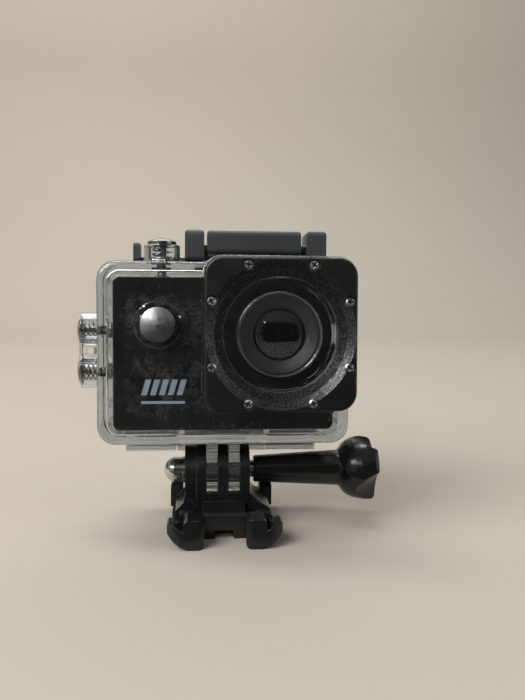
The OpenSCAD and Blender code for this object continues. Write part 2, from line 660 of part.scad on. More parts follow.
module buckle_base() {
  color([0.1, 0.105, 0.11]) difference() {
    union() {
      // three fingers
      for (x = [[-7.5, -4.7], [-1.5, 1.5], [4.7, 7.5]]) {
        translate([0, 0, pivot_h]) rod_x(7.5, x[0], x[1]);
        box(x[0], x[1], -7.5, 7.5, 4, pivot_h);
      }
      // pocket block of the nut
      translate([0, 0, pivot_h]) rod_x(7, -10.7, -7);
      box(-10.7, -7, -7, 7, 4, pivot_h);
      // seat under the slots
      box(-7.2, 7.2, -7.5, 7.5, 4, pivot_h - 4.9);
      // main block with sloping shoulders
      slab_y(-7.5, 12.5)
        polygon([[-13.4, 2.1], [13.4, 2.1], [13.4, 5.2], [12.4, 6.2], [-12.4, 6.2], [-13.4, 5.2]]);
      slab_y(-7.5, 7.5) polygon([[-12.6, 6], [12.6, 6], [10.4, 7.4], [7.2, 10.4], [7.2, 6.1], [-7.2, 6.1],
        [-10.6, 10.2], [-11, 7.6]]);
      // rails
      box(-rail_hw, rail_hw, -3.6, 12.5, 0, 2.2);
      box(-6.6, 6.6, -7.5, -3.5, 0, 2.2);
      // tongue
      slab_x(-5.8, 5.8) polygon([[-16, 2.3], [-16, 6.3], [-15.4, 6.9], [-7, 7.8], [-7, 2.3]]);
      for (s = [-1, 1]) box(s * 4.1 - 1.5, s * 4.1 + 1.5, -16, -7, 0, 2.4);
      // stops at the far end
      for (s = [-1, 1]) intersection() {
        slab_x(s > 0 ? 11.4 : -15.1, s > 0 ? 15.1 : -11.4)
          polygon([[7, 2], [12.5, 2], [12.5, 7.9], [11.1, 9.3], [8.6, 9.3], [7, 7.3]]);
        slab_y(6, 13) round_box2(s > 0 ? 9 : -15.1, s > 0 ? 15.1 : -9, 0.4, 9.3, 1.5);
      }
    }
    translate([0, 0, pivot_h]) rod_x(pivot_r, -11, 8);
    // hex pocket
    translate([0, 0, pivot_h]) rotate([0, -90, 0]) translate([0, 0, 7.9])
      cylinder(r = 4.12 / cos(30), h = 4, $fn = 6);
    // slots that the clear fingers turn in
    for (s = [-1, 1]) {
      box(s * 3.1 - 1.6, s * 3.1 + 1.6, -9, 9, pivot_h - 4.9, 24);
      translate([0, 0, pivot_h]) rod_x(finger_r + 0.3, s * 3.1 - 1.6, s * 3.1 + 1.6);
    }
    // sockets of the prongs
    for (s = [-1, 1]) {
      translate([s * prong_x, prong_y, -1]) cylinder(r = prong_root + 0.06, h = 5.9);
      box(s > 0 ? 7.2 : -15, s > 0 ? 15 : -7.2, -9, prong_y + 0.2, -1, 4.9);
    }
    // recess under the base
    box(-9, 9, 2, 10, -1, 1.2);
  }
}

// outline of the prong's end, seen from the front, for the prong on +X
module prong_face() {
  round_box2(5.5, 10.8, 0, 7.8, 1.2);
  intersection() {
    translate([7.8, 8.6]) circle(r = 8.6, $fn = 96);
    polygon([[6, -0.5], [15.1, -0.5], [15.1, 6.2], [14.7, 6.65], [13.3, 6.35], [10.4, 4.5], [6, 4.5]]);
  }
}

module buckle_prong(s) {
  mirror([s > 0 ? 0 : 1, 0, 0]) {
    translate([prong_x, prong_y, 0.4]) cylinder(r = prong_root, h = 4.3);
    slab_x(8.6, 12)
      polygon([[-18, 0.4], [-18, 7.7], [-15.5, 7.9], [-12, 6.3], [-9.4, 4.4], [prong_y, 4.4], [prong_y, 0.4]]);
    // snap barb
    translate([0, 0, 0.4]) linear_extrude(3.2)
      polygon([[11.5, -9.6], [14.3, -12.4], [14.3, -13.6], [11.5, -14.4]]);
    // thumb pad
    intersection() {
      slab_y(-24.4, -17.2) prong_face();
      translate([9.5, -17.4, -1]) cylinder(r = 7.4, h = 12);
    }
  }
}
module buckle_prong_left() { color([0.1, 0.105, 0.11]) buckle_prong(-1); }
module buckle_prong_right() { color([0.1, 0.105, 0.11]) buckle_prong(1); }

module cap_nut() {
  color([0.85, 0.85, 0.86]) translate([0, 0, pivot_h]) rotate([0, -90, 0]) difference() {
    union() {
      translate([0, 0, 7.95]) cylinder(r = 4.05 / cos(30), h = 2.7, $fn = 6);
      translate([0, 0, 10.5]) cylinder(r = 3.8, h = 0.8);
      translate([0, 0, 11]) cylinder(r = 3.55, h = 2.1);
      intersection() {
        translate([0, 0, 13.05]) sphere(r = 3.65);
        translate([0, 0, 12.9]) cylinder(r = 3.55, h = 6);
      }
    }
    translate([0, 0, 7]) cylinder(r = 2.46, h = 6);
  }
}

module thumb_screw_bolt() {
  color([0.7, 0.7, 0.72]) translate([0, 0, pivot_h]) {
    rod_x(2.42, -12.6, 21);
    translate([20.9, 0, 0]) rotate([0, 90, 0]) cylinder(r = 3.4, h = 3, $fn = 6);
  }
}

module thumb_screw_handle() {
  color([0.1, 0.105, 0.11]) translate([0, 0, pivot_h]) rotate([0, 90, 0]) difference() {
    rotate_extrude() polygon([[0, 8.9], [3.5, 8.9], [3.8, 9.3], [5.15, 33.6], [5.7, 34.2], [7, 35.1], [7.9, 36.2],
      [8.6, 37.6], [9, 39.2], [knob_r, 41], [knob_r, 43.2], [knob_r - 0.4, 44.1], [knob_r - 1.1, 44.4],
      [4.2, 44.5], [3.4, 43.8], [0, 43.8]]);
    // three scoops between the lobes
    for (a = [65, 185, 305]) rotate([0, 0, a]) translate([16.4, 0, 44.4]) rotate([0, -30, 0])
      cylinder(r = 10, h = 30, center = true);
    // room for the bolt and its head
    translate([0, 0, 8]) cylinder(r = 2.44, h = 13.5);
    translate([0, 0, 20.85]) cylinder(r = 3.44, h = 3.1, $fn = 6);
  }
}

housing_shell();
port_window();
port_o_ring();
port_frame();
port_screws();
housing_door();
door_gasket();
door_hinge_pin();
latch_lever();
latch_arm();
latch_lever_pin();
latch_arm_pin();
front_button();
front_button_spring();
front_button_o_ring();
front_button_clip();
upper_side_button();
upper_side_spring();
upper_side_o_ring();
upper_side_clip();
lower_side_button();
lower_side_spring();
lower_side_o_ring();
lower_side_clip();
top_button();
top_button_spring();
top_button_o_ring();
top_button_clip();
camera_front_panel();
panel_print();
camera_front_shell();
camera_back_shell();
camera_screws();
lens_barrel();
lens_retainer();
lens_bezel();
lens_front_glass();
lens_inner_elements();
image_sensor();
main_board();
lcd_screen();
battery();
battery_door();
camera_power_button();
camera_up_button();
camera_down_button();
camera_ok_button();
memory_card();
side_ports();
speaker();
status_lights();
buckle_base();
buckle_prong_left();
buckle_prong_right();
cap_nut();
thumb_screw_bolt();
thumb_screw_handle();
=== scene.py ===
"""Looks of the action camera in its clear dive housing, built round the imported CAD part."""

import json
import math

import bpy
import numpy as np
from mathutils import Matrix, Vector


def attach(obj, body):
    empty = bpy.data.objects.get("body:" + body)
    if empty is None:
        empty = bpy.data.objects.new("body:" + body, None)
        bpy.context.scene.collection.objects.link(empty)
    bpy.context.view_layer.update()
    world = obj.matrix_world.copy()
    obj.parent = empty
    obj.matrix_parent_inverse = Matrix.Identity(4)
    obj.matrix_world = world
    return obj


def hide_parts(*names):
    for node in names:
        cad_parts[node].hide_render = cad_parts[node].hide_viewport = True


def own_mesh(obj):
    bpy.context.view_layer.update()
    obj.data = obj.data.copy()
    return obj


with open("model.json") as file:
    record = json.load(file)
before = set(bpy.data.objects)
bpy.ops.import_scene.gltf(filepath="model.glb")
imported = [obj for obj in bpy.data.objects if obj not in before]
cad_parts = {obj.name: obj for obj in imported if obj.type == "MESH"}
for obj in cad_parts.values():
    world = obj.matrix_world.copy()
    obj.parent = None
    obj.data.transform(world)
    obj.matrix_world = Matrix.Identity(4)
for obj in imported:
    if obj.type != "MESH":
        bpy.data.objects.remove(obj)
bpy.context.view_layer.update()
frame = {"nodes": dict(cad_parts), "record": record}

MM = 0.001
TILT = math.radians(3)        # the housing leans back by this at rest
PIVOT_Z = 15.1 * MM
nodes = frame["nodes"]
scene = bpy.context.scene


# ---- places ----
def from_housing(x, y, z):
    """A point of the housing, in millimetres about the pivot, as a row-frame point."""
    c, s = math.cos(TILT), math.sin(TILT)
    return Vector((x * MM, (y * c + z * s) * MM, PIVOT_Z + (z * c - y * s) * MM))


def to_housing(p):
    """The other way round: a row-frame point as millimetres about the pivot."""
    c, s = math.cos(TILT), math.sin(TILT)
    y, z = p[1] / MM, (p[2] - PIVOT_Z) / MM
    return Vector((p[0] / MM, y * c - z * s, y * s + z * c))


# ---- material building blocks ----
class Tree:
    """A material with its Principled shader and short calls for the nodes that feed it."""

    def __init__(self, name):
        self.mat = bpy.data.materials.new(name)
        self.mat.use_nodes = True
        self.nt = self.mat.node_tree
        self.nt.nodes.clear()
        self.out = self.node("ShaderNodeOutputMaterial")
        self.shader = self.node("ShaderNodeBsdfPrincipled")
        self.link(self.shader.outputs[0], self.out.inputs["Surface"])
        self.coords = self.node("ShaderNodeTexCoord").outputs["Object"]

    def node(self, kind, **props):
        n = self.nt.nodes.new(kind)
        for k, v in props.items():
            setattr(n, k, v)
        return n

    def link(self, a, b):
        self.nt.links.new(a, b)

    def put(self, socket, value):
        if isinstance(value, bpy.types.NodeSocket):
            self.link(value, socket)
        else:
            socket.default_value = value

    def set(self, **values):
        for key, value in values.items():
            self.put(self.shader.inputs[key.replace("_", " ")], value)

    def noise(self, scale, detail=3.0, rough=0.55, stretch=None, distort=0.0):
        n = self.node("ShaderNodeTexNoise")
        n.inputs["Scale"].default_value = scale
        n.inputs["Detail"].default_value = detail
        n.inputs["Roughness"].default_value = rough
        n.inputs["Distortion"].default_value = distort
        self.link(self.stretched(stretch) if stretch else self.coords, n.inputs["Vector"])
        return n.outputs["Fac"]

    def stretched(self, scale):
        m = self.node("ShaderNodeMapping")
        m.inputs["Scale"].default_value = scale
        self.link(self.coords, m.inputs["Vector"])
        return m.outputs[0]

    def voronoi(self, scale, output="Distance", feature="F1"):
        n = self.node("ShaderNodeTexVoronoi", feature=feature)
        n.inputs["Scale"].default_value = scale
        self.link(self.coords, n.inputs["Vector"])
        return n.outputs[output]

    def remap(self, value, a, b, to=(0.0, 1.0), smooth=False):
        n = self.node("ShaderNodeMapRange")
        if smooth:
            n.interpolation_type = "SMOOTHSTEP"
        n.clamp = True
        self.put(n.inputs["Value"], value)
        for socket, v in zip(("From Min", "From Max", "To Min", "To Max"), (a, b, *to)):
            n.inputs[socket].default_value = v
        return n.outputs["Result"]

    def split(self):
        """The X, Y and Z of the object's own coordinates."""
        n = self.node("ShaderNodeSeparateXYZ")
        self.link(self.coords, n.inputs[0])
        return n.outputs

    def maths(self, operation, a, b=0.0):
        n = self.node("ShaderNodeMath", operation=operation)
        self.put(n.inputs[0], a)
        self.put(n.inputs[1], b)
        return n.outputs[0]

    def times(self, a, b):
        return self.maths("MULTIPLY", a, b)

    def mix(self, factor, a, b):
        n = self.node("ShaderNodeMix", data_type="RGBA")
        self.put(n.inputs["Factor"], factor)
        self.put(n.inputs["A"], (*a, 1.0) if isinstance(a, tuple) else a)
        self.put(n.inputs["B"], (*b, 1.0) if isinstance(b, tuple) else b)
        return n.outputs["Result"]

    def bump(self, height, distance, onto=None):
        n = self.node("ShaderNodeBump")
        n.inputs["Distance"].default_value = distance
        self.put(n.inputs["Height"], height)
        if onto is not None:
            self.link(onto, n.inputs["Normal"])
        return n.outputs["Normal"]

    def rounded(self, radius):
        """Normals that turn over an edge as if it had this radius."""
        n = self.node("ShaderNodeBevel")
        n.samples = 4
        n.inputs["Radius"].default_value = radius
        return n.outputs["Normal"]

    def edges(self, radius):
        """1 on the edges of the mesh, 0 away from them."""
        dot = self.node("ShaderNodeVectorMath", operation="DOT_PRODUCT")
        self.link(self.rounded(radius), dot.inputs[0])
        self.link(self.node("ShaderNodeNewGeometry").outputs["Normal"], dot.inputs[1])
        return self.remap(dot.outputs["Value"], 0.995, 0.86)

    def let_lamps_through(self, tint):
        """Shadow rays pass straight through, so lamps reach what the clear part encloses."""
        lamps = self.node("ShaderNodeBsdfTransparent")
        lamps.inputs["Color"].default_value = (*(c * 0.95 for c in tint), 1.0)
        choose = self.node("ShaderNodeMixShader")
        self.link(self.node("ShaderNodeLightPath").outputs["Is Shadow Ray"], choose.inputs[0])
        self.link(self.shader.outputs[0], choose.inputs[1])
        self.link(lamps.outputs[0], choose.inputs[2])
        self.link(choose.outputs[0], self.out.inputs["Surface"])


DUST = (0.16, 0.155, 0.145)
METAL_EDGE = 0.00012


def plastic(name, colour, rough, grain=7000, depth=4e-6, edge=0.00018, dust=0.35, coat=0.0,
            edge_wear_and_sheen=(0.09, 0.095, 0.1), spec=0.5):
    """Moulded plastic: fine eroded grain, smudges in the gloss, a little dust, and edges painted lighter:
    partly rubbed wear, partly a painted highlight.
    """
    t = Tree(name)
    smudge = t.noise(90, 5, 0.6)
    specks = t.remap(t.noise(2600, 2), 0.66, 0.74)
    film = t.remap(t.noise(160, 6, 0.7), 0.48, 0.72)
    base = t.mix(t.times(film, dust * 0.5), colour, tuple(c * 1.6 + 0.012 for c in colour))
    base = t.mix(t.times(specks, dust * 0.45), base, DUST)
    # Edges painted lighter: partly rubbed wear, partly a painted highlight along the edges.
    rubbed_and_sheen_edges = t.times(t.edges(edge * 1.5), t.remap(t.noise(700, 4), 0.42, 0.62))
    base = t.mix(t.times(rubbed_and_sheen_edges, 0.5), base, edge_wear_and_sheen)
    low, high = max(rough - 0.07, 0.02), rough + 0.09
    t.set(Base_Color=base, Roughness=t.remap(smudge, 0.3, 0.7, (low, high)), Specular_IOR_Level=spec,
          Coat_Weight=coat, Coat_Roughness=0.08, IOR=1.5)
    t.set(Normal=t.bump(t.noise(grain, 2, 0.6), depth, onto=t.rounded(edge)))
    return t.mat


def metal(name, colour, rough, brush=(1, 1, 1), scratches=0.3, patina=(0.5, 0.47, 0.42), stain=0.25):
    """Bare or plated metal: drawn grain along brush, scratches and darker stains."""
    t = Tree(name)
    stains = t.remap(t.noise(420, 6, 0.65), 0.5, 0.72)
    base = t.mix(t.times(stains, stain), colour, tuple(a * b for a, b in zip(colour, patina)))
    fine = t.noise(900, 3, 0.6, stretch=brush)
    lines = t.remap(t.noise(1500, 1, 0.4, stretch=(1, 0.08, 1.4), distort=0.6), 0.62, 0.66)
    even = t.remap(fine, 0.3, 0.7, (rough * 0.75, rough * 1.35))
    t.set(Base_Color=base, Metallic=1.0, Roughness=t.maths("ADD", even, t.times(lines, scratches * 0.2)))
    height = t.maths("SUBTRACT", t.times(fine, 0.4), t.times(lines, scratches))
    t.set(Normal=t.bump(height, 6e-6, onto=t.rounded(METAL_EDGE)))
    return t.mat


def clear(name, tint, ior, rough=0.02, ripple=2e-5, scratches=0.5, spec=0.5):
    """Clear plastic or glass, with a faint ripple, wiped smears and hairline scratches."""
    t = Tree(name)
    waves = t.noise(55, 2, 0.4)
    marks = t.remap(t.noise(800, 2, 0.5, stretch=(1, 0.12, 0.9), distort=0.8), 0.655, 0.675)
    wiped = t.remap(t.noise(130, 5, 0.65), 0.5, 0.75)
    smeared = t.remap(wiped, 0, 1, (rough, rough + min(0.05, 2.5 * rough)))
    height = t.maths("SUBTRACT", waves, t.times(marks, scratches * 0.15))
    t.set(Base_Color=t.mix(t.times(wiped, 0.35), tint, tuple(c * 0.965 for c in tint)), IOR=ior,
          Roughness=t.maths("ADD", smeared, t.times(marks, scratches * 0.3)),
          Transmission_Weight=1.0, Specular_IOR_Level=spec, Normal=t.bump(height, ripple))
    t.let_lamps_through(tint)
    return t.mat


def ribbed(name, tint, ior, pitch):
    """Clear plastic with fine steps across it, as left by the slides of the mould."""
    t = Tree(name)
    wave = t.maths("SINE", t.times(t.split()["Z"], math.tau / pitch))
    steps = t.remap(wave, -0.6, 0.6, smooth=True)
    t.set(Base_Color=t.mix(t.noise(300, 4), tint, tuple(c * 0.9 for c in tint)), IOR=ior,
          Roughness=t.remap(t.noise(200, 4), 0.3, 0.7, (0.02, 0.09)),
          Transmission_Weight=1.0, Normal=t.bump(steps, 1.2e-4))
    t.let_lamps_through(tint)
    return t.mat


def rubber(name, colour):
    """Soft seal: matt, slightly grainy, with a skin of talc."""
    t = Tree(name)
    rough = 0.55
    talc = t.remap(t.noise(900, 5, 0.7), 0.45, 0.75)
    t.set(Base_Color=t.mix(t.times(talc, 0.3), colour, tuple(c * 0.8 + 0.05 for c in colour)),
          Roughness=t.remap(t.noise(300, 3), 0.3, 0.7, (rough - 0.1, rough + 0.1)),
          Normal=t.bump(t.noise(5000, 2), 5e-6))
    return t.mat


def sparkle(name):
    """Black lacquer with scattered metal flakes, on the dished face round the window, with a painted
    highlight along its edges.
    """
    t = Tree(name)
    lacquer, metal_flake, painted_edge_highlight = (0.004, 0.0046, 0.005), (0.11, 0.115, 0.12), (0.34, 0.35, 0.36)
    share_bare, tip = 0.72, 0.2    # how much of the face has no flake, and how far the flakes lean
    cell = t.voronoi(6500, "Color")
    part = t.node("ShaderNodeSeparateColor")
    t.link(cell, part.inputs[0])
    flake = t.maths("GREATER_THAN", part.outputs[2], share_bare)
    lean = t.node("ShaderNodeVectorMath", operation="SUBTRACT")
    t.link(cell, lean.inputs[0])
    lean.inputs[1].default_value = (0.5, 0.5, 0.5)
    size = t.node("ShaderNodeVectorMath", operation="SCALE")
    t.link(lean.outputs[0], size.inputs[0])
    t.put(size.inputs["Scale"], t.times(flake, tip))
    add = t.node("ShaderNodeVectorMath", operation="ADD")
    t.link(t.bump(t.noise(2500, 2), 4e-6), add.inputs[0])
    t.link(size.outputs[0], add.inputs[1])
    unit = t.node("ShaderNodeVectorMath", operation="NORMALIZE")
    t.link(add.outputs[0], unit.inputs[0])
    # The edges are painted lighter as a thin painted highlight.
    highlight_rim = t.times(t.edges(0.00016), 0.7)
    t.set(Base_Color=t.mix(highlight_rim, t.mix(flake, lacquer, metal_flake), painted_edge_highlight),
          Metallic=t.times(flake, 0.9), Roughness=t.remap(flake, 0, 1, (0.3, 0.28)),
          Specular_IOR_Level=0.35, Normal=unit.outputs[0])
    return t.mat


def gloss_panel(name):
    """Black glossy panel: a dusty mottled print under its clear face, kept off the border."""
    t = Tree(name)
    blotch = t.remap(t.noise(380, 6, 0.72, distort=0.5), 0.42, 0.62)
    spots = t.remap(t.noise(1900, 3, 0.6), 0.45, 0.6)
    where = t.remap(t.noise(90, 3, 0.6), 0.36, 0.56)
    # The mottling fades out over these stretches, in metres: left, right, bottom and top of its patch.
    place = t.split()
    inside = t.times(t.remap(place["X"], -0.0275, -0.0255), t.remap(place["X"], 0.004, -0.004))
    inside = t.times(inside, t.remap(place["Z"], 0.0315, 0.035))
    inside = t.times(inside, t.remap(place["Z"], 0.0665, 0.064))
    dust = t.times(blotch, t.remap(spots, 0, 1, (0.35, 1.0)))
    dust = t.times(dust, t.remap(where, 0, 1, (0.25, 1.0)))
    dust = t.times(dust, t.remap(inside, 0, 1, (0.1, 1.0)))
    t.set(Base_Color=t.mix(dust, (0.0065, 0.0068, 0.0072), (0.16, 0.145, 0.118)),
          Roughness=t.remap(t.noise(110, 5), 0.35, 0.7, (0.16, 0.3)),
          Coat_Weight=1.0, Coat_Roughness=0.03, Specular_IOR_Level=0.4,
          Normal=t.bump(t.noise(60, 2), 3e-6, onto=t.rounded(0.0002)))
    return t.mat


def printed(name):
    """Silver-grey screen print with its fine dot grain."""
    t = Tree(name)
    dots = t.voronoi(9000)
    worn = t.remap(t.noise(1400, 4), 0.6, 0.72)
    t.set(Base_Color=t.mix(t.times(worn, 0.5), (0.56, 0.61, 0.68), (0.3, 0.31, 0.33)),
          Metallic=0.2, Roughness=t.remap(dots, 0, 0.6, (0.35, 0.5)), Normal=t.bump(dots, 4e-6))
    return t.mat


def board(name, mask_colour, pad_colour):
    """Circuit board: solder mask over fine tracks, with bare pads."""
    t = Tree(name)
    tracks = t.remap(t.voronoi(700, feature="DISTANCE_TO_EDGE"), 0.03, 0.06)
    pads = t.remap(t.voronoi(950), 0.12, 0.08)
    base = t.mix(tracks, tuple(c * 1.7 for c in mask_colour), mask_colour)
    t.set(Base_Color=t.mix(pads, base, pad_colour), Metallic=t.times(pads, 0.9),
          Roughness=t.remap(t.noise(500, 3), 0.3, 0.7, (0.28, 0.45)), Normal=t.bump(tracks, 1.5e-5))
    return t.mat


def lamp_pipe(name):
    """Frosted light pipe."""
    t = Tree(name)
    t.set(Base_Color=t.mix(t.noise(1500, 3), (0.62, 0.72, 0.78), (0.8, 0.86, 0.9)),
          Transmission_Weight=0.6, IOR=1.49, Roughness=t.remap(t.noise(2500, 2), 0.3, 0.7, (0.25, 0.4)))
    return t.mat


BLACK = (0.0058, 0.0068, 0.0072)
POLYCARBONATE, GLASS, DENSE_GLASS, SILICONE = 1.585, 1.5, 1.62, 1.41    # indices of refraction
RIB_PITCH = 0.0009

# Each finish: the function that makes it, then what it is given. Lengths in metres.
RECIPES = {
    "clear_polycarbonate": (clear, ((0.83, 0.86, 0.885), POLYCARBONATE), {}),
    # Fingers and hinge knuckles get a darker tint than the rest of the shell: painted shade.
    "ribbed_clear": (ribbed, ((0.6, 0.62, 0.64), POLYCARBONATE, RIB_PITCH), {}),
    "window_glass": (clear, ((0.96, 0.975, 0.985), GLASS), dict(rough=0.008, ripple=4e-6, scratches=0.2)),
    "lens_glass": (clear, ((0.3, 0.32, 0.34), DENSE_GLASS),
                   dict(rough=0.002, ripple=1e-7, scratches=0.0, spec=0.06)),
    "coated_glass": (plastic, ((0.008, 0.009, 0.012), 0.12),
                     dict(grain=9000, depth=2e-7, dust=0.1, spec=0.3)),
    "frame_black": (plastic, ((0.0062, 0.0074, 0.008), 0.34),
                    dict(grain=5200, depth=5e-6, dust=0.25, spec=0.35)),
    "frame_sparkle": (sparkle, (), {}),
    "latch_black": (plastic, ((0.037, 0.0415, 0.045), 0.36), dict(grain=5200, edge=0.0003)),
    "mount_black": (plastic, (BLACK, 0.26), dict(grain=6000, depth=3e-6, edge=0.00028, dust=0.3)),
    "knob_black": (plastic, (BLACK, 0.2), dict(grain=6000, depth=2e-6, edge=0.0003, dust=0.25)),
    "camera_plastic": (plastic, ((0.013, 0.013, 0.0135), 0.45), dict(grain=4200, depth=8e-6)),
    "lens_black": (plastic, ((0.007, 0.007, 0.0075), 0.38), dict(grain=8000, dust=0.25)),
    "bezel_black": (plastic, ((0.014, 0.014, 0.0145), 0.4), dict(grain=9000, dust=0.15, spec=0.4)),
    "retainer_black": (metal, ((0.42, 0.43, 0.44), 0.14), dict(stain=0.05)),
    "panel_gloss": (gloss_panel, (), {}),
    "print_silver": (printed, (), {}),
    "key_grey": (plastic, ((0.07, 0.074, 0.08), 0.35), dict(dust=0.3, edge_wear_and_sheen=(0.3, 0.31, 0.32))),
    "screen_black": (plastic, ((0.006, 0.007, 0.009), 0.12),
                     dict(grain=9000, depth=5e-7, dust=0.3, coat=0.6)),
    "card_black": (plastic, ((0.02, 0.02, 0.021), 0.45), {}),
    "battery_wrap": (plastic, ((0.33, 0.34, 0.36), 0.38), dict(grain=3000, edge_wear_and_sheen=(0.5, 0.5, 0.5))),
    "speaker_black": (plastic, ((0.02, 0.02, 0.02), 0.6), dict(grain=3500, depth=1.5e-5)),
    "black_nitrile": (rubber, ((0.014, 0.014, 0.014),), {}),
    "clear_silicone": (clear, ((0.86, 0.88, 0.88), SILICONE), dict(rough=0.22, ripple=1e-5, scratches=0.1)),
    "screw_steel": (metal, ((0.84, 0.82, 0.78), 0.3), {}),
    # The screw crosses get darker metal: painted shade in the recesses.
    "screw_recess": (metal, ((0.06, 0.058, 0.055), 0.4), dict(stain=0.4)),
    "pin_steel": (metal, ((0.26, 0.26, 0.26), 0.25), dict(brush=(0.1, 1, 1))),
    "dome_steel": (metal, ((0.29, 0.295, 0.3), 0.36), dict(scratches=0.0, stain=0.0)),
    "spring_steel": (metal, ((0.42, 0.41, 0.39), 0.2), {}),
    "button_steel": (metal, ((0.29, 0.28, 0.265), 0.2), dict(stain=0.35, patina=(0.6, 0.52, 0.44))),
    "connector_steel": (metal, ((0.6, 0.6, 0.6), 0.25), {}),
    "nut_chrome": (metal, ((0.7, 0.68, 0.65), 0.1), dict(stain=0.3, patina=(0.55, 0.5, 0.44))),
    "bolt_steel": (metal, ((0.56, 0.56, 0.56), 0.22), dict(brush=(0.1, 1, 1))),
    "sensor_green": (board, ((0.03, 0.07, 0.05), (0.5, 0.42, 0.25)), {}),
    "board_green": (board, ((0.01, 0.07, 0.035), (0.55, 0.45, 0.25)), {}),
    "light_pipe": (lamp_pipe, (), {}),
}
FINISH = {name: make(name, *given, **more) for name, (make, given, more) in RECIPES.items()}


# ---- finishes on the CAD nodes ----
for part in frame["record"]["subparts"]:
    mesh = nodes[part["node"]].data
    mesh.materials.clear()
    mesh.materials.append(FINISH[part["material_slot"]])

# Places in the housing, in millimetres about the pivot.
AXIS_X, AXIS_Z = 14.1, 39.4                 # lens axis
FRAME_FRONT, DISH_DEPTH = -25.2, 1.7
DISH_IN, DISH_OUT = 14.95, 19.4             # radii of the dished face
DISH_LEAN = (0.05, 0.75)                    # how far its faces lean out of the front plane
SCREW_A, SCREW_B = 17.85, 8.45              # from the lens axis to a screw, the long way and the short way
CROSS_REACH, CROSS_DEPTH = 0.9, (0.1, 0.6)
FINGER_HALF, FINGER_TOP, KNUCKLE_TOP = 4.7, 9.0, 7.7
SCREW_SPOTS = [(AXIS_X + i * a, AXIS_Z + j * b) for a, b in ((SCREW_A, SCREW_B), (SCREW_B, SCREW_A))
               for i in (-1, 1) for j in (-1, 1)]


def second_finish(node, finish, belongs):
    """Give the faces of a CAD node that belong to a region another finish."""
    mesh = nodes[node].data
    mesh.materials.append(FINISH[finish])
    for face in mesh.polygons:
        if belongs(to_housing(face.center), face.normal):
            face.material_index = 1


def on_dish(p, normal):
    reach = math.hypot(p.x - AXIS_X, p.z - AXIS_Z)
    leans = DISH_LEAN[0] < math.hypot(normal.x, normal.z) < DISH_LEAN[1]
    return leans and DISH_IN < reach < DISH_OUT and p.y < FRAME_FRONT + DISH_DEPTH


head_top = min(to_housing(v.co).y for v in nodes["port_screws"].data.vertices)


# Faces down in the cross recesses, which get darker metal as painted shade.
def in_cross(p, _normal):
    reach = min(math.hypot(p.x - x, p.z - z) for x, z in SCREW_SPOTS)
    return reach < CROSS_REACH and head_top + CROSS_DEPTH[0] < p.y < head_top + CROSS_DEPTH[1]


# The finger and knuckle faces, which get the darker tinted finish as painted shade.
def on_finger_or_knuckle(p, _normal):
    return p.z < (FINGER_TOP if abs(p.x) < FINGER_HALF else KNUCKLE_TOP)


second_finish("port_frame", "frame_sparkle", on_dish)
second_finish("port_screws", "screw_recess", in_cross)
second_finish("housing_shell", "ribbed_clear", on_finger_or_knuckle)
second_finish("housing_door", "ribbed_clear", on_finger_or_knuckle)
nodes["thumb_screw_handle"].data.materials[0] = FINISH["knob_black"]
nodes["lens_inner_elements"].data.materials[0] = FINISH["coated_glass"]


# ---- return springs, one real coil each ----
STEPS_PER_TURN, STEPS_ROUND_WIRE = 40, 14


def coil(name, base, out, length, radius, wire, turns):
    """A compression spring with closed ends, from base towards out. wire is the wire's radius."""
    steps, ring = int(turns * STEPS_PER_TURN), STEPS_ROUND_WIRE
    out = Vector(out).normalized()
    side = out.orthogonal().normalized()
    up = out.cross(side)
    closed = min(0.9, turns * 0.3)      # turns at each end that lie almost flat
    active = turns - 2 * closed
    pitch = (length - 4 * wire) / active
    path = []
    for i in range(steps + 1):
        t = i / steps * turns
        rise = wire * min(t, closed) / closed
        rise += pitch * min(max(t - closed, 0.0), active)
        rise += wire * max(t - (turns - closed), 0.0) / closed
        a = t * math.tau
        around = side * math.cos(a) + up * math.sin(a)
        path.append(base + out * (wire + rise) + around * radius)
    verts, faces = [], []
    for i, p in enumerate(path):
        ahead = (path[min(i + 1, steps)] - path[max(i - 1, 0)]).normalized()
        away = p - base
        away = (away - out * away.dot(out)).normalized()
        over = ahead.cross(away).normalized()
        thick = wire if 0 < i < steps else wire * 0.8    # the cut ends are a little ground down
        for k in range(ring):
            a = k / ring * math.tau
            verts.append(p + (away * math.cos(a) + over * math.sin(a)) * thick)
    for i in range(steps):
        for k in range(ring):
            a, b = i * ring + k, i * ring + (k + 1) % ring
            faces.append((a, b, b + ring, a + ring))
    faces.append(tuple(reversed(range(ring))))
    faces.append(tuple(steps * ring + k for k in range(ring)))
    mesh = bpy.data.meshes.new(name)
    mesh.from_pydata(verts, [], faces)
    mesh.validate()
    mesh.update()
    for f in mesh.polygons:
        f.use_smooth = len(f.vertices) == 4
    mesh.materials.append(FINISH["spring_steel"])
    obj = bpy.data.objects.new(name, mesh)
    scene.collection.objects.link(obj)
    return obj


def span(node, out):
    """Middle of a node's inner end, and its length, along the axis out."""
    co = np.array([v.co for v in nodes[node].data.vertices])
    out = np.array(Vector(out).normalized())
    along = co @ out
    middle = (co.min(0) + co.max(0)) / 2
    middle = middle - out * (middle @ out - along.min())
    return Vector(middle), float(along.max() - along.min())


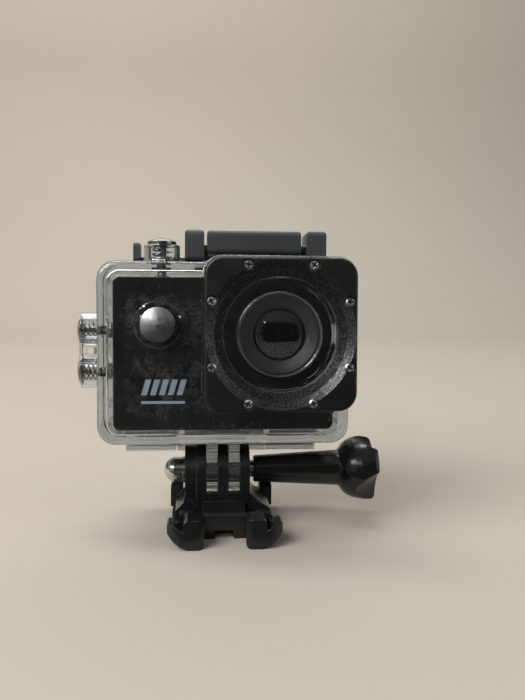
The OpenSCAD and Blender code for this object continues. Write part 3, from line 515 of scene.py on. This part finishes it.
origin = from_housing(0, 0, 0)
LEFT = from_housing(-1, 0, 0) - origin
FRONT = from_housing(0, -1, 0) - origin
TOP = from_housing(0, 0, 1) - origin
SPRINGS = (
    # node, piece, joint, direction, travel, turns, radius of the wire, in millimetres
    ("front_button_spring", "front_button_coil", "front_button_press", FRONT, 0.7, 2.4, 0.2),
    ("upper_side_spring", "upper_side_coil", "upper_side_button_press", LEFT, 0.9, 5.6, 0.25),
    ("lower_side_spring", "lower_side_coil", "lower_side_button_press", LEFT, 0.9, 5.6, 0.25),
    ("top_button_spring", "top_button_coil", "top_button_press", TOP, 0.9, 5.2, 0.25),
)
SPRING_R = 2.5 * MM
for node, piece, joint, out, travel, turns, wire in SPRINGS:
    foot, length = span(node, out)
    spring = coil(piece, foot, out, length, SPRING_R, wire * MM, turns)
    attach(spring, "housing")
    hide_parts(node)
    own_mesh(spring)


# ---- floor and backdrop ----
def stage_sheet(name, verts, faces, material):
    """A sheet that isn't part of the object."""
    mesh = bpy.data.meshes.new(name)
    mesh.from_pydata(verts, [], faces)
    mesh.update()
    for f in mesh.polygons:
        f.use_smooth = True
    mesh.materials.append(material)
    obj = bpy.data.objects.new(name, mesh)
    scene.collection.objects.link(obj)
    return obj


def floor_paint(colour):
    t = Tree("floor_paint")
    t.set(Base_Color=t.mix(t.noise(6, 3), colour, tuple(c * 0.965 for c in colour)),
          Roughness=0.8, Specular_IOR_Level=0.15, Normal=t.bump(t.noise(900, 2), 1.5e-5))
    return t.mat


def sweep(name, profile, width, colour):
    """A floor that turns up into a backdrop, with this profile in (y, z)."""
    verts = [(s * width / 2, y, z) for s in (-1, 1) for y, z in profile]
    n = len(profile)
    stage_sheet(name, verts, [(i, i + 1, n + i + 1, n + i) for i in range(n - 1)], floor_paint(colour))


BEND, WALL_Y, WALL_TOP, FLOOR_FRONT, WIDTH = 0.45, 1.1, 2.2, -5.0, 14.0    # metres
FLOOR_COLOUR = (0.45, 0.4125, 0.358)
QUARTER = np.linspace(0, math.pi / 2, 24)
curve = [(WALL_Y - BEND + BEND * math.sin(a), BEND - BEND * math.cos(a)) for a in QUARTER]
sweep("studio_floor", [(FLOOR_FRONT, 0.0), *curve, (WALL_Y, WALL_TOP)], WIDTH, FLOOR_COLOUR)


# ---- light ----
OBJECT_MIDDLE = (0.0, 0.0, 0.05)
BACKDROP_MIDDLE = (0.1, 1.1, 0.55)
DAYLIGHT, SKY, LAMP = (1.0, 0.99, 0.97), (0.97, 0.98, 1.0), (1.0, 0.98, 0.95)


def softbox(name, place, size, power, colour, aim=OBJECT_MIDDLE):
    """A rectangular lamp that faces aim. Metres and watts."""
    lamp = bpy.data.lights.new(name, "AREA")
    lamp.shape, lamp.size, lamp.size_y = "RECTANGLE", *size
    lamp.energy, lamp.color = power, colour
    obj = bpy.data.objects.new(name, lamp)
    obj.location = place
    obj.rotation_mode = "QUATERNION"
    obj.rotation_quaternion = (Vector(aim) - Vector(place)).to_track_quat("-Z", "Y")
    scene.collection.objects.link(obj)


def card_paint():
    t = Tree("card_paint")
    t.set(Base_Color=t.mix(t.noise(4, 3), (0.045, 0.05, 0.054), (0.06, 0.067, 0.072)), Roughness=1.0,
          Specular_IOR_Level=0.0)
    return t.mat


def flag(name, corners, through):
    """A dark card that shows in reflections only and, if through, in what clear parts let through."""
    obj = stage_sheet(name, corners, [(0, 1, 2, 3)], CARD_PAINT)
    obj.visible_camera = obj.visible_diffuse = obj.visible_shadow = False
    obj.visible_transmission = through


CARD_PAINT = card_paint()
CARD_Y = -0.26                              # the upright card stands here, and the low one ends here
CARD_LEFT, CARD_RIGHT, CARD_TOP = -0.11, 0.24, 0.17
LOW_HALF, LOW_END, LOW_Z = 0.22, -0.03, 0.0004
flag("front_flag", [(CARD_LEFT, CARD_Y, 0.0), (CARD_RIGHT, CARD_Y, 0.0),
                    (CARD_RIGHT, CARD_Y, CARD_TOP), (CARD_LEFT, CARD_Y, CARD_TOP)], through=True)
flag("low_flag", [(-LOW_HALF, CARD_Y, LOW_Z), (LOW_HALF, CARD_Y, LOW_Z),
                  (LOW_HALF, LOW_END, LOW_Z), (-LOW_HALF, LOW_END, LOW_Z)], through=False)
softbox("window_light", (-0.55, -0.42, 0.62), (0.55, 0.55), 8.5, DAYLIGHT)
softbox("spark_light", (-0.3, -0.75, 0.42), (0.05, 0.05), 0.9, (1.0, 1.0, 1.0))
softbox("room_fill", (0.75, -0.35, 0.35), (0.5, 0.7), 0.8, SKY)
softbox("back_light", (0.15, 0.65, 0.75), (0.9, 0.4), 1.5, SKY)
softbox("backdrop_wash", (-0.25, 0.3, 1.3), (0.9, 0.5), 13.5, LAMP, aim=BACKDROP_MIDDLE)

AIR_COLOUR, AIR_STRENGTH = (0.6, 0.61, 0.61, 1.0), 0.4
world = bpy.data.worlds.new("studio_air")
scene.world = world
world.use_nodes = True
air = world.node_tree.nodes["Background"]
air.inputs["Color"].default_value = AIR_COLOUR
air.inputs["Strength"].default_value = AIR_STRENGTH

# ---- camera, at the photograph's viewing angle ----
YAW, PITCH, ROLL = 0.0907, 0.0955, 0.0097            # radians
OFFSET = Vector((-11.772, 212.230, -49.415)) * MM    # the origin from the camera: right, ahead, up
SENSOR, FOCAL = 36.0, 37.4169                        # millimetres
turn = Matrix.Rotation(ROLL, 3, "Y") @ Matrix.Rotation(PITCH, 3, "X") @ Matrix.Rotation(YAW, 3, "Z")
right, ahead, up = turn
camera = bpy.data.objects.new("camera", bpy.data.cameras.new("camera"))
camera.data.sensor_width = SENSOR
camera.data.lens = FOCAL
camera.data.clip_start, camera.data.clip_end = 0.005, 20.0
pose = Matrix((right, up, -ahead)).transposed().to_4x4()
pose.translation = -(turn.transposed() @ OFFSET)
camera.matrix_world = pose
scene.collection.objects.link(camera)
scene.camera = camera

scene.view_settings.view_transform = "Standard"
scene.cycles.caustics_reflective = False
scene.cycles.caustics_refractive = False
scene.cycles.transparent_max_bounces = 24
